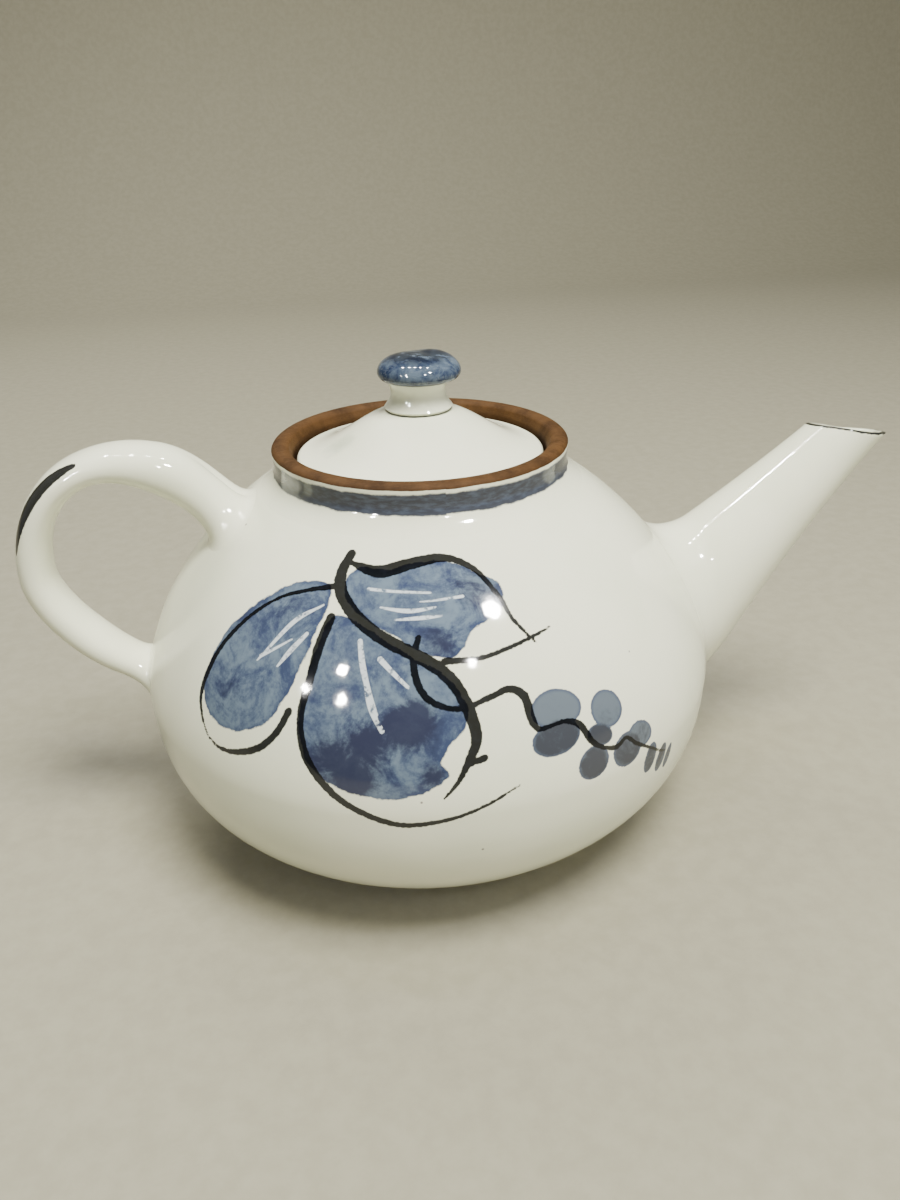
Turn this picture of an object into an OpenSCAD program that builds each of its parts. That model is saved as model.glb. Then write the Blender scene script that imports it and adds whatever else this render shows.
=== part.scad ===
// Hand-thrown stoneware teapot: round belly, straight side spout, pulled strap
// handle, and a lift-off lid that sits down in a gallery.
// Millimetres. The origin is the centre of the foot's resting plane,
// +Z is up and +X points towards the spout.

/* [Belly] */
// Radius of the belly at its widest
belly_r = 82.5; // [80:0.5:85]
// Height of the widest ring above the table
belly_z = 48; // [46:0.5:50]
// Depth that the lower curve would reach below the widest ring
belly_low = 49.4; // [48:0.2:51]
// Height that the shoulder curve would reach above the widest ring
belly_high = 70.1; // [68:0.5:73]
// Thickness of the thrown wall
wall = 5; // [4:0.5:6]

/* [Foot] */
// Height of the turned foot ring
foot_h = 3; // [2.5:0.5:4]
// Radius of the foot ring's inner edge
foot_in_r = 41; // [36:0.5:42]

/* [Collar] */
// Outer radius of the collar
collar_r = 40.3; // [39.5:0.1:41]
// Height of the rim's top above the table
rim_z = 113.8; // [113:0.1:114.5]
// Radius of the mouth below the lid
throat_r = 31; // [30:0.5:32]
// Radius of the recess that the lid drops into
gallery_r = 35; // [34.8:0.1:35.4]
// Height of the ledge that carries the lid
ledge_z = 106.9; // [106.5:0.1:107.5]

/* [Spout] */
// Slope of the spout's axis above level
spout_tilt = 45.4; // [44:0.2:46.8]
// Distance from the pot's axis to where the spout's axis starts
spout_x = 82; // [81:0.5:83]
// Height at which the spout's axis starts
spout_z = 56.8; // [56:0.2:58]
// Outer radius of the spout's root
spout_root_r = 19.5; // [18.5:0.5:20]
// Outer radius of the spout at its tip
spout_tip_r = 8.5; // [8:0.25:9.5]
// Length of the spout's axis
spout_length = 82; // [80:0.5:84]
// Thickness of the spout's wall
spout_wall = 3; // [2.5:0.25:3.5]
// Height of the mouth's middle above the table
mouth_z = 105.2; // [104:0.1:106]
// Slope of the mouth, downwards towards the tip
mouth_dip = 9; // [6:0.5:12]
// Slope of the mouth to the side, upwards towards -Y
mouth_roll = 12; // [0:0.5:14]

/* [Strainer] */
// Diameter of each strainer hole
strainer_d = 3; // [2.5:0.25:3.5]
// Distance between neighbouring strainer holes
strainer_pitch = 6; // [5:0.25:7]

/* [Handle] */
// Distance from the pot's axis to the middle of the handle's far bend
handle_reach = 107; // [104:0.5:110]
// Height of the middle of the far bend
handle_z = 83.5; // [81:0.5:86]
// Width of the strap
handle_w = 17; // [15:0.5:18]
// Thickness of the strap at its root, top, far bend, lower run and tail
handle_t = [16, 8.5, 9, 9.5, 7.5]; // [7:0.5:18]

/* [Lid] */
// Radius of the lid's edge
lid_r = 34; // [33.5:0.1:34.3]
// Thickness of the lid's edge
lid_edge = 3; // [2.5:0.25:3.5]
// Height of the dome above the lid's sloping brim
lid_rise = 7.6; // [7:0.2:8.4]
// Outer radius of the locating flange below the lid
flange_r = 30; // [29:0.2:30.4]
// Thickness of the flange
flange_t = 3.5; // [3:0.25:4]
// Depth of the flange below the lid
flange_h = 10; // [8:0.5:12]
// Diameter of the steam hole
vent_d = 3; // [2.5:0.25:3.9]

/* [Knob] */
// Radius of the stem at its foot
stem_foot_r = 9.3; // [8.5:0.1:10]
// Radius of the stem at its waist
stem_r = 7.5; // [7:0.1:8]
// Radius of the knob
knob_r = 11.3; // [10.5:0.1:12]
// Height of the knob's underside above the table
knob_z = 129.2; // [128.5:0.1:130]
// Height of the knob
knob_h = 7.4; // [7:0.1:8]

/* [Hidden] */
$fn = 96;

GLAZE = [0.86, 0.86, 0.82];
CLAY = [0.56, 0.33, 0.17];
BLUE = [0.33, 0.40, 0.53];

// The lower and upper halves of the belly are superellipses of these powers.
low_n = 2.6;
high_n = 1.68;
curve_steps = 18;

// The lid rests on the ledge with this much slack for the glaze.
seat_gap = 0.1;
lid_under = ledge_z + seat_gap;
lid_top = lid_under + lid_edge;
brim_slope = 0.15;
dome_from = 32;
dome_to = 7;
dome_top = dome_z(stem_foot_r);

// Radius of a belly curve of half-width r, height h and power n at height z.
function bulge_r(r, h, n, z) = r * pow(1 - pow(z / h, n), 1 / n);

// Height at which that curve has come in to the radius x.
function bulge_z(r, h, n, x) = h * pow(1 - pow(x / r, n), 1 / n);

// Points of that curve from its widest to the radius x, evenly spread by angle.
function bulge(r, h, n, x) =
    let (last = acos(pow(x / r, n / 2)))
    [for (i = [0:curve_steps])
        let (a = last * i / curve_steps)
        [r * pow(cos(a), 2 / n), h * pow(sin(a), 2 / n)]];

function flipped(list) = [for (i = [len(list) - 1:-1:0]) list[i]];
function placed(list, up) = [for (p = list) [p[0], belly_z + up * p[1]]];

collar_z = belly_z + bulge_z(belly_r, belly_high, high_n, collar_r);
foot_r = bulge_r(belly_r, belly_low, low_n, belly_z - foot_h);
inner_r = belly_r - wall;
inner_low = belly_low - wall;
inner_high = belly_high - wall;
floor_z = foot_h + wall;
floor_r = bulge_r(inner_r, inner_low, low_n, belly_z - floor_z);

belly_outside = concat(
    flipped(placed(bulge(belly_r, belly_low, low_n, foot_r), -1)),
    placed(bulge(belly_r, belly_high, high_n, collar_r), 1));
belly_inside = concat(
    flipped(placed(bulge(inner_r, inner_low, low_n, floor_r), -1)),
    placed(bulge(inner_r, inner_high, high_n, throat_r), 1));

// The belly's outer shape as one solid, which trims what is joined to it.
module belly_form() {
    rotate_extrude()
        polygon(concat([[0, foot_h]], belly_outside, [[0, collar_z]]));
}

// Puts children on the spout's axis, with +Z along the axis.
module on_spout() {
    translate([spout_x, 0, spout_z])
        rotate([0, 90 - spout_tilt, 0])
            children();
}

// The strainer is a ring of six holes round a seventh, pierced level through
// the wall behind the spout.
strainer_angles = [for (i = [0:5]) 60 * i];

module strainer_holes() {
    drill_from = spout_x - 3 * wall;
    drill_length = 4 * wall;
    translate([drill_from, 0, spout_z])
        rotate([0, 90, 0]) {
            cylinder(d = strainer_d, h = drill_length);
            for (a = strainer_angles)
                rotate(a)
                    translate([strainer_pitch, 0, 0])
                        cylinder(d = strainer_d, h = drill_length);
        }
}

module belly() {
    color(GLAZE)
        difference() {
            rotate_extrude()
                polygon(concat(
                    [[0, foot_h]],
                    belly_outside,
                    [[throat_r, collar_z]],
                    flipped(belly_inside),
                    [[0, floor_z]]));
            strainer_holes();
        }
}

module foot_ring() {
    foot_round = 0.8;
    color(CLAY)
        rotate_extrude()
            polygon([
                [foot_in_r, foot_h],
                [foot_in_r + foot_round, 0],
                [foot_r - foot_round, 0],
                [foot_r, foot_round],
                [foot_r, foot_h]]);
}

// The collar stands on the shoulder. The lid drops inside it onto the ledge.
module collar() {
    lip_in = 36.4;
    lip_r = (collar_r + 0.4 - lip_in) / 2;
    lip = [for (a = [0:20:180])
        [lip_in + lip_r * (1 + cos(a)), rim_z + 0.55 * lip_r * (sin(a) - 1)]];
    color(CLAY)
        rotate_extrude()
            polygon(concat(
                [[throat_r, collar_z], [collar_r, collar_z]],
                lip,
                [[gallery_r, rim_z - 2], [gallery_r, ledge_z], [throat_r, ledge_z]]));
}

// Outer radius of the spout at a distance s along its axis: a slightly
// hollow taper, whose flare dies out below the axis' start.
spout_power = 1.5;
flare_length = 12;
flare_slope = spout_power * (spout_root_r - spout_tip_r) / spout_length;
function spout_r(s) =
    s < 0
    ? spout_root_r + flare_slope * flare_length * (1 - exp(s / flare_length))
    : spout_tip_r + (spout_root_r - spout_tip_r)
        * pow(max(0, 1 - s / spout_length), spout_power);

spout_from = -32;
spout_to = spout_length + 4;
spout_steps = 16;
spout_profile = concat(
    [for (s = [spout_from:8:-8]) [spout_r(s), s]],
    [for (i = [0:spout_steps])
        let (s = spout_to * i / spout_steps)
        [spout_r(s), s]]);

module spout_bore() {
    past_end = 1;
    rotate_extrude()
        polygon(concat(
            [[0, spout_from - past_end],
             [spout_root_r - spout_wall, spout_from - past_end]],
            [for (p = spout_profile) if (p[1] >= 0) [p[0] - spout_wall, p[1]]],
            [[spout_tip_r - spout_wall, spout_to + past_end],
             [0, spout_to + past_end]]));
}

// Everything above the mouth's plane, which dips towards the tip and leans
// to one side, as a mouth that is cut by hand does.
module mouth_cut() {
    mouth_x = spout_x + (mouth_z - spout_z) / tan(spout_tilt);
    cut_l = 120;
    cut_w = 80;
    cut_h = 60;
    translate([mouth_x, 0, mouth_z])
        rotate([-mouth_roll, mouth_dip, 0])
            translate([-cut_l / 2, -cut_w / 2, 0])
                cube([cut_l, cut_w, cut_h]);
}

module spout() {
    color(GLAZE)
        difference() {
            on_spout()
                rotate_extrude()
                    polygon(concat([[0, spout_from]], spout_profile, [[0, spout_to]]));
            on_spout()
                spout_bore();
            mouth_cut();
            belly_form();
        }
}

// The handle follows two Bezier curves that meet, upright, at its far bend.
handle_root = [-51, 96.5];
handle_rise = [-83, 128];
handle_bend = [-handle_reach, handle_z];
handle_tuck = [-91.5, 54.5];
handle_tail = [-81, 51];
bend_up = 25;
bend_down = 12;
handle_steps = 16;
section_sides = 24;
section_power = 0.9;

function bezier(p, t) =
    pow(1 - t, 3) * p[0] + 3 * pow(1 - t, 2) * t * p[1]
    + 3 * (1 - t) * t * t * p[2] + pow(t, 3) * p[3];

function bezier_slope(p, t) =
    pow(1 - t, 2) * (p[1] - p[0]) + 2 * (1 - t) * t * (p[2] - p[1])
    + t * t * (p[3] - p[2]);

upper_run = [handle_root, handle_rise, handle_bend + [0, bend_up], handle_bend];
lower_run = [handle_bend, handle_bend - [0, bend_down], handle_tuck, handle_tail];

// The strap's thickness at t from 0, its root, to 2, its tail.
function strap_t(t) = lookup(t, [for (i = [0:4]) [i / 2, handle_t[i]]]);

// Keeps the sign of x and raises its size to a power.
function eased(x, power) = sign(x) * pow(abs(x), power);

// One squarish oval section of the strap: place p, direction d, thickness t.
function section(p, d, t) =
    let (across = [-d[1], d[0]] / norm(d))
    [for (k = [0:section_sides - 1])
        let (a = 360 * k / section_sides,
             off = across * t / 2 * eased(cos(a), section_power))
        [p[0] + off[0], handle_w / 2 * eased(sin(a), section_power), p[1] + off[1]]];

function mix(a, b, t) = a + (b - a) * t;

handle_rings = concat(
    [for (i = [0:handle_steps])
        let (t = i / handle_steps)
        section(bezier(upper_run, t), bezier_slope(upper_run, t), strap_t(t))],
    [for (i = [1:handle_steps])
        let (t = i / handle_steps)
        section(bezier(lower_run, t), bezier_slope(lower_run, t), strap_t(1 + t))]);

// Skins a row of rings, each of the same number of points, as one closed solid.
module skin(rings) {
    n = len(rings[0]);
    last = len(rings) - 1;
    sides = [for (i = [0:last - 1], k = [0:n - 1])
        let (a = i * n + k, b = i * n + (k + 1) % n)
        [a, b, b + n, a + n]];
    first_cap = [for (k = [n - 1:-1:0]) k];
    last_cap = [for (k = [0:n - 1]) last * n + k];
    polyhedron([for (r = rings) each r], concat(sides, [first_cap, last_cap]));
}

module handle() {
    color(GLAZE)
        difference() {
            skin(handle_rings);
            belly_form();
        }
}

// Height of the lid's top at radius r: a brim that slopes gently up from the
// edge, and a dome that swells out of it from dome_from to dome_to.
function dome_z(r) =
    let (t = min(1, max(0, (r - dome_to) / (dome_from - dome_to))))
    lid_top + brim_slope * (lid_r - r) + lid_rise * (1 + cos(180 * t)) / 2;

module lid_dome() {
    edge_round = 0.6;
    flange_in = flange_r - flange_t;
    lid_wall = 3.9;
    top_steps = 16;
    top = [for (i = [0:top_steps])
        let (r = lid_r + (stem_foot_r - lid_r) * i / top_steps)
        [r, dome_z(r)]];
    under = [for (i = [0:8])
        let (r = flange_in * i / 8)
        [r, lid_under + (dome_z(0) - lid_wall - lid_under) * (1 - pow(r / flange_in, 2))]];
    color(GLAZE)
        difference() {
            rotate_extrude()
                polygon(concat(
                    under,
                    [[lid_r - edge_round, lid_under], [lid_r, lid_under + edge_round]],
                    top,
                    [[0, dome_top]]));
            translate([0, (stem_foot_r + flange_in) / 2, lid_under])
                cylinder(d = vent_d, h = dome_top - lid_under);
        }
}

// The plain ring that keeps the lid central in the mouth.
module lid_flange() {
    lead_in = 1;
    color(CLAY)
        rotate_extrude()
            polygon([
                [flange_r - flange_t, lid_under - flange_h],
                [flange_r - lead_in, lid_under - flange_h],
                [flange_r, lid_under - flange_h + lead_in],
                [flange_r, lid_under],
                [flange_r - flange_t, lid_under]]);
}

// The knob's stem narrows from its foot to a waist, then widens to the knob.
module knob_stem() {
    stem_h = knob_z - dome_top;
    neck_r = stem_r + 0.9;
    side = [for (i = [0:12])
        let (t = i / 12,
             ends = mix(stem_foot_r, neck_r, t),
             pinch = (mix(stem_foot_r, neck_r, 0.5) - stem_r) * sin(180 * t))
        [ends - pinch, dome_top + stem_h * t]];
    color(GLAZE)
        rotate_extrude()
            polygon(concat([[0, dome_top]], side, [[0, knob_z]]));
}

// The knob is a flattened button, widest low down.
module knob_cap() {
    wide_z = knob_z + 0.3 * knob_h;
    under_r = stem_r + 0.9;
    lower = [for (i = [0:6])
        let (a = 90 * i / 6)
        [under_r + (knob_r - under_r) * sin(a), wide_z - (wide_z - knob_z) * cos(a)]];
    upper = [for (i = [1:12])
        let (a = 90 * i / 12)
        [knob_r * pow(cos(a), 0.8), wide_z + (knob_z + knob_h - wide_z) * sin(a)]];
    color(BLUE)
        rotate_extrude()
            polygon(concat([[0, knob_z]], lower, upper));
}

belly();
foot_ring();
collar();
spout();
handle();
lid_flange();
lid_dome();
knob_stem();
knob_cap();
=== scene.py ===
import math

import bmesh
import bpy
import numpy as np
from mathutils import Matrix, Vector


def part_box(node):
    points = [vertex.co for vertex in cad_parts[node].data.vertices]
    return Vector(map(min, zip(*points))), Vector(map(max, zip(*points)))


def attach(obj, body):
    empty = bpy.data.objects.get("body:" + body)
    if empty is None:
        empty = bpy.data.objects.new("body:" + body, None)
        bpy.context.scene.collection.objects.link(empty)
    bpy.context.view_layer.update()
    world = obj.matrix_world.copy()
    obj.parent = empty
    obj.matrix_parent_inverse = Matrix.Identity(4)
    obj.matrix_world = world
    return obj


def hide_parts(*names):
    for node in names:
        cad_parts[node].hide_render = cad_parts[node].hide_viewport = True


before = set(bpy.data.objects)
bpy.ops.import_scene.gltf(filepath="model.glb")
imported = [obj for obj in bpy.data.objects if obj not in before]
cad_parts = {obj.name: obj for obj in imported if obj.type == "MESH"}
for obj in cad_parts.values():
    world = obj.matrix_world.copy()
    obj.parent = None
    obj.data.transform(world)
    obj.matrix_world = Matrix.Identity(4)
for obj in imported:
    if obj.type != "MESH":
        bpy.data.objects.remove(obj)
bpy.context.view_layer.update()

# A hand-thrown stoneware teapot. Lengths are millimetres until a mesh is made,
# and the frame is the CAD's: +Z up, +X towards the spout, painted side on -Y.
MM = 0.001


def box_mm(node):
    """The lowest and highest corner of a CAD node, in millimetres."""
    low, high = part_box(node)
    return np.array(low) / MM, np.array(high) / MM


belly_high = box_mm("belly")[1]
foot_high = box_mm("foot_ring")[1]
collar_low, collar_high = box_mm("collar")
dome_low, dome_high = box_mm("lid_dome")
flange_low, flange_high = box_mm("lid_flange")
stem_low, stem_high = box_mm("knob_stem")
cap_low, cap_high = box_mm("knob_cap")

# ---- pot's form

# The belly is two superellipses that meet at its widest ring: a half-height and a power each.
BELLY_R = belly_high[1]
WIDE_Z = 48.0
LOW_H, LOW_N = 49.4, 2.6
HIGH_H, HIGH_N = 70.1, 1.68
WALL = 5.0
FOOT_H = foot_high[2]
FOOT_IN_R = 41.0
COLLAR_Z = collar_low[2]
COLLAR_R = 40.3
RIM_Z = collar_high[2]
THROAT_R = 31.0
GALLERY_R = 35.0
LEDGE_Z = 106.9


def belly_halves(z):
    """The half-height and the power of the belly's curve on z's side of its widest ring."""
    above = z > WIDE_Z
    return np.where(above, HIGH_H, LOW_H), np.where(above, HIGH_N, LOW_N)


def belly_radius(z, inset=0.0):
    """The belly's radius at height z, or that of the surface inset below it."""
    height, power = belly_halves(z)
    t = np.clip(np.abs(z - WIDE_Z) / (height - inset), 0, 1)
    return (BELLY_R - inset) * (1 - t**power) ** (1 / power)


def shoulder_z(r):
    """The height at which the belly's upper curve has come in to the radius r."""
    return WIDE_Z + HIGH_H * (1 - (r / BELLY_R) ** HIGH_N) ** (1 / HIGH_N)


def belly_level(p):
    """How far points lie outside the belly, as a level, and the level's gradient."""
    z = p[:, 2] - WIDE_Z
    height, power = belly_halves(p[:, 2])
    rho = np.maximum(np.hypot(p[:, 0], p[:, 1]), 1e-6)
    level = (rho / BELLY_R) ** power + (np.abs(z) / height) ** power - 1
    along_r = power * (rho / BELLY_R) ** (power - 1) / BELLY_R
    along_z = power * (np.abs(z) / height) ** (power - 1) / height * np.sign(z)
    slope = np.stack([along_r * p[:, 0] / rho, along_r * p[:, 1] / rho, along_z], 1)
    return level, slope


def belly_normal(p):
    slope = belly_level(p)[1]
    return slope / np.linalg.norm(slope, axis=1)[:, None]


def onto_belly(p):
    """Moves points along the level's gradient until they lie on the belly."""
    for _ in range(12):
        level, slope = belly_level(p)
        p = p - (level / (slope**2).sum(1))[:, None] * slope
    return p


def bisected(count, low, high, is_past):
    """For each of count searches, the value between low and high from which is_past is true."""
    low, high = np.full(count, float(low)), np.full(count, float(high))
    for _ in range(40):
        middle = (low + high) / 2
        past = is_past(middle)
        low, high = np.where(past, low, middle), np.where(past, middle, high)
    return high


def meets_belly(start, along, reach):
    """Where lines from start, going along, first enter the belly."""
    far = bisected(len(start), 0, reach, lambda t: belly_level(start + along * t[:, None])[0] < 0)
    return start + along * far[:, None]


def smooth(x, low, high):
    t = np.clip((x - low) / (high - low), 0, 1)
    return t * t * (3 - 2 * t)


def by_hand(p):
    """The slight unevenness of a pot thrown by hand. It dies out towards the collar."""
    turn = np.arctan2(p[:, 1], p[:, 0])
    rho = np.hypot(p[:, 0], p[:, 1])
    amount = 0.35 * smooth(rho, 48, 80)
    push = amount * (np.sin(2 * turn + 0.6) * np.cos(p[:, 2] / 31) + 0.5 * np.sin(3 * turn + p[:, 2] / 23))
    out = p.copy()
    out[:, :2] += (push / np.maximum(rho, 1))[:, None] * p[:, :2]
    return out


# ---- mesh building


def make_piece(name, points, faces, sharp=35):
    """A smooth-shaded mesh object from points in millimetres, its faces turned outwards."""
    mesh = bpy.data.meshes.new(name)
    mesh.from_pydata((np.asarray(points) * MM).tolist(), [], faces)
    mesh.validate()
    piece = bpy.data.objects.new(name, mesh)
    bpy.context.scene.collection.objects.link(piece)
    face_outwards(piece)
    mesh.shade_smooth()
    mesh.set_sharp_from_angle(angle=math.radians(sharp))
    return piece


def face_outwards(piece):
    shape = bmesh.new()
    shape.from_mesh(piece.data)
    bmesh.ops.recalc_face_normals(shape, faces=shape.faces)
    shape.to_mesh(piece.data)
    shape.free()


def revolved(profile, turns):
    """Points and faces of a closed profile turned about Z. A point on the axis is a pole."""
    profile = np.asarray(profile, float)
    points, rows = [], []
    for r, z in profile:
        first = len(points)
        if r < 1e-6:
            points.append((0, 0, z))
            rows.append([first] * len(turns))
        else:
            points.extend((r * math.sin(a), -r * math.cos(a), z) for a in turns)
            rows.append(list(range(first, first + len(turns))))
    poles = profile[0, 0] < 1e-6 and profile[-1, 0] < 1e-6
    pairs = list(zip(rows, rows[1:] if poles else rows[1:] + rows[:1]))
    faces = []
    for a, b in pairs:
        for i in range(len(turns)):
            j = (i + 1) % len(turns)
            corners = [a[i], a[j], b[j], b[i]]
            faces.append([c for k, c in enumerate(corners) if c not in corners[:k]])
    return np.array(points), faces


def lofted(rings, closed=False):
    """Points and faces of rings with the same number of points, each joined to the next."""
    count = len(rings[0])
    points = np.concatenate(rings)
    last = len(rings) if closed else len(rings) - 1
    faces = []
    for i in range(last):
        a, b = i * count, (i + 1) % len(rings) * count
        for k in range(count):
            m = (k + 1) % count
            faces.append([a + k, a + m, b + m, b + k])
    return points, faces


def evenly(count):
    return np.linspace(0, 2 * math.pi, count, endpoint=False)


def bezier(p0, p1, p2, p3, t):
    return (1 - t) ** 3 * p0 + 3 * (1 - t) ** 2 * t * p1 + 3 * (1 - t) * t * t * p2 + t**3 * p3


def unit(v):
    return v / np.linalg.norm(v, axis=-1, keepdims=True)


def stepped(points, step):
    """A polyline's points respaced so that neighbours are at most step apart."""
    points = np.asarray(points, float)
    out = [points[0]]
    for a, b in zip(points, points[1:]):
        n = max(1, math.ceil(np.linalg.norm(b - a) / step))
        out.extend(a + (b - a) * k / n for k in range(1, n + 1))
    return np.array(out)


# ---- painted motif

# The painting is drawn in degrees round the pot from -Y towards +X, and
# millimetres of height. A stroke's points are (degrees, height, width in mm).
PAINT_TURN = (-63.0, 45.0)
PAINT_Z = (37.0, 102.0)

STEM = [(-29, 99, 2.4), (-30, 96, 2.9), (-29, 93, 3.3), (-25, 89.5, 3.4), (-19, 86, 3.3),
        (-9, 81.5, 3.3), (-4, 77.5, 3.2), (-1.5, 72, 3.1), (-0.5, 66, 2.7), (-2, 61.5, 2.0),
        (-4, 57, 1.2), (-6.5, 53, 0.5)]
STEM_HOOK = [(-2.5, 60.5, 1.4), (0.5, 61.5, 1.9)]
CROWN = [(-28, 97.5, 1.4), (-20, 96.5, 3.4), (-11, 98, 3.2), (-2, 98.5, 2.2), (5, 96, 1.6),
         (9, 91, 1.3), (10.5, 87, 1.1), (14, 82, 0.7)]
LEFT_EDGE = [(-30, 93.5, 1.8), (-37, 92, 1.3), (-44, 89.5, 1.0), (-49.5, 85, 1.2), (-53.5, 78.5, 1.5),
             (-55, 72, 1.7), (-55, 66, 1.4), (-53, 61, 0.9), (-50.5, 57.5, 0.6)]
LEFT_CURL = [(-51, 58, 0.5), (-47.5, 56.5, 1.0), (-43, 57.5, 1.6), (-38.5, 60.5, 1.9), (-35.5, 65, 1.8),
             (-34, 69.5, 2.0)]
RIB = [(-29.5, 88, 2.4), (-30.5, 83, 2.6), (-31, 76, 2.2), (-31.5, 69, 1.9), (-30, 62, 2.2),
       (-27, 56.5, 2.1), (-22, 51, 1.8), (-14, 46.5, 1.6), (-6, 47.5, 1.2), (0.5, 50.5, 0.9),
       (6, 54, 0.5)]
LOOP = [(-10, 85.5, 1.3), (-11, 81, 1.8), (-10, 76.5, 1.8), (-7.5, 73.5, 1.7), (-3, 72, 1.4),
        (2.5, 73.5, 1.5), (6.5, 74.5, 1.8), (9, 72.5, 2.2), (9.5, 68, 2.2), (10.5, 65.5, 1.5),
        (13, 65.5, 1.1), (16, 65.5, 1.3), (18.5, 63.5, 1.9), (20, 59.5, 1.7), (22, 57, 1.2),
        (25, 55.5, 1.4), (27.5, 56.5, 1.1), (29.5, 54, 1.2), (32, 51.5, 1.0), (34.5, 49, 0.8),
        (36.5, 47, 0.8), (38.5, 45.5, 0.5)]
TENDRIL = [(-5, 81, 1.8), (2, 81, 1.3), (8, 82, 1.1), (13, 83, 1.0), (18, 84, 0.6)]
INK = [STEM, STEM_HOOK, CROWN, LEFT_EDGE, LEFT_CURL, RIB, LOOP, TENDRIL]

SCRATCHES = [
    [(-32, 90, 0.5), (-38, 86, 1.2), (-43.5, 77.5, 0.5)],
    [(-34, 84.5, 1.0), (-36.5, 81, 1.3), (-38.5, 77.5, 0.6)],
    [(-37, 83, 0.4), (-43, 78.5, 1.0)],
    [(-22, 93.5, 0.8), (-7, 93, 0.6)],
    [(-9.5, 91.5, 0.4), (0.5, 92, 0.8)],
    [(-18.5, 90.5, 0.5), (-12, 90, 1.1), (-6, 90.5, 0.5)],
    [(-15, 88.5, 0.5), (-9, 88.8, 1.0), (-4.5, 89, 0.4)],
    [(-22, 84.5, 1.2), (-20.5, 79, 1.4), (-17.5, 71, 0.7)],
    [(-17.5, 81.5, 1.4), (-12, 76.5, 0.8)],
    [(-20.5, 80, 0.8), (-19, 73, 1.0), (-16.5, 68, 1.2)],
]

# Lobes of thin blue wash, as closed curves through (degrees, height).
LEFT_LOBE = [(-31, 92.5), (-38, 93.5), (-45, 91), (-50.5, 86.5), (-54.5, 80), (-55.5, 72.5), (-54.5, 66.5),
             (-50, 62), (-44, 62), (-38.5, 65.5), (-35.5, 71), (-33, 80.5)]
TOP_LOBE = [(-28.5, 95), (-25, 97), (-18, 97), (-11, 98), (-2, 98), (4.5, 96), (9.5, 93.5),
            (9.5, 90), (5.5, 87.5), (1.5, 86), (-1, 83), (-4.5, 81.5), (-9, 82.5), (-15, 85.5),
            (-22, 88.5), (-27, 91.5)]
LOW_LOBE = [(-29.5, 88), (-31, 82), (-32, 72), (-31, 64), (-27, 57), (-21, 54), (-15.5, 53),
            (-10, 54.5), (-5.5, 58), (-6.5, 61.5), (-4.5, 65.5), (-2, 68.5), (-1.5, 73),
            (-5, 78.5), (-11, 82), (-18, 85.5), (-25.5, 88.5)]
# Berries: middle, half-width and half-height in mm, lean in degrees, depth of colour.
BERRIES = [
    (14.5, 68.5, 6.6, 4.2, -5, 0.1), (13.5, 62.5, 6.4, 3.9, 5, 0.8), (24.5, 65, 4.8, 4.2, -20, 0.15),
    (22, 60, 3.8, 2.6, -20, 0.9), (20, 54, 4.6, 4.1, 20, 0.65), (27.5, 53.5, 4.9, 4.4, 10, 0.7),
    (31, 55.5, 4.4, 3.4, -20, 0.3), (33.5, 47, 2.4, 4.3, -14, 0.6), (37, 44.5, 2.0, 4.2, -18, 0.55),
    (39.5, 43, 1.4, 3.6, -20, 0.5),
]
# Where the wash pooled: (degrees, height, spread in mm, depth).
POOLS = [
    (-21, 56.5, 6, 1.0), (-12, 69, 5, 1.1), (-10, 72, 3.5, 0.6), (-19, 65, 6, 0.6),
    (-8, 58.5, 3, 0.8), (-26, 62, 5, 0.6), (-47, 68, 6, 0.3), (-40, 89, 7, 0.3),
    (4, 93, 6, 0.6), (-6, 84, 5, 0.55), (-52, 80, 7, 0.25),
]


def on_pot(turn, z):
    """The point of the belly at so many degrees round from -Y, at height z."""
    a = np.radians(turn)
    r = belly_radius(z)
    return np.stack([r * np.sin(a), -r * np.cos(a), z + 0 * a], -1)


def curve_through(points, closed=False, steps=24):
    """A smooth curve through points (Catmull-Rom)."""
    p = np.asarray(points, float)
    if closed:
        p = np.concatenate([p[-1:], p, p[:2]])
    else:
        p = np.concatenate([2 * p[:1] - p[1:2], p, 2 * p[-1:] - p[-2:-1]])
    out = []
    for a, b, c, d in zip(p, p[1:], p[2:], p[3:]):
        for t in np.linspace(0, 1, steps, endpoint=False):
            out.append(0.5 * (2 * b + (c - a) * t + (2 * a - 5 * b + 4 * c - d) * t**2
                              + (3 * b - a - 3 * c + d) * t**3))
    if not closed:
        out.append(p[-2])
    return np.array(out)


FAR = 6.0


def near_curve(points, curve, width):
    """Distance from points to a curve's edge, positive inside its width, at least -FAR."""
    best = np.full(len(points), -FAR)
    low = curve.min(0) - FAR - 2
    high = curve.max(0) + FAR + 2
    close = np.flatnonzero(((points > low) & (points < high)).all(1))
    for start in range(0, len(close), 4000):
        some = close[start:start + 4000]
        gap = np.linalg.norm(points[some][:, None] - curve[None], axis=2)
        best[some] = np.maximum(best[some], (width[None] / 2 - gap).max(1))
    return best


def stroke_field(points, strokes):
    """Signed distance, in mm and positive inside, to the nearest of the strokes."""
    best = np.full(len(points), -FAR)
    for stroke in strokes:
        line = stepped(curve_through(stroke), 0.3)
        best = np.maximum(best, near_curve(points, on_pot(line[:, 0], line[:, 1]), line[:, 2]))
    return best


def inside(turn, z, outline):
    """Which (turn, z) lie inside a closed outline, by counting crossings."""
    odd = np.zeros(len(turn), bool)
    for (a0, z0), (a1, z1) in zip(outline, np.roll(outline, -1, 0)):
        crosses = (z0 > z) != (z1 > z)
        at = a0 + (z - z0) * (a1 - a0) / (z1 - z0 if z1 != z0 else 1e-9)
        odd ^= crosses & (turn < at)
    return odd


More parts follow.
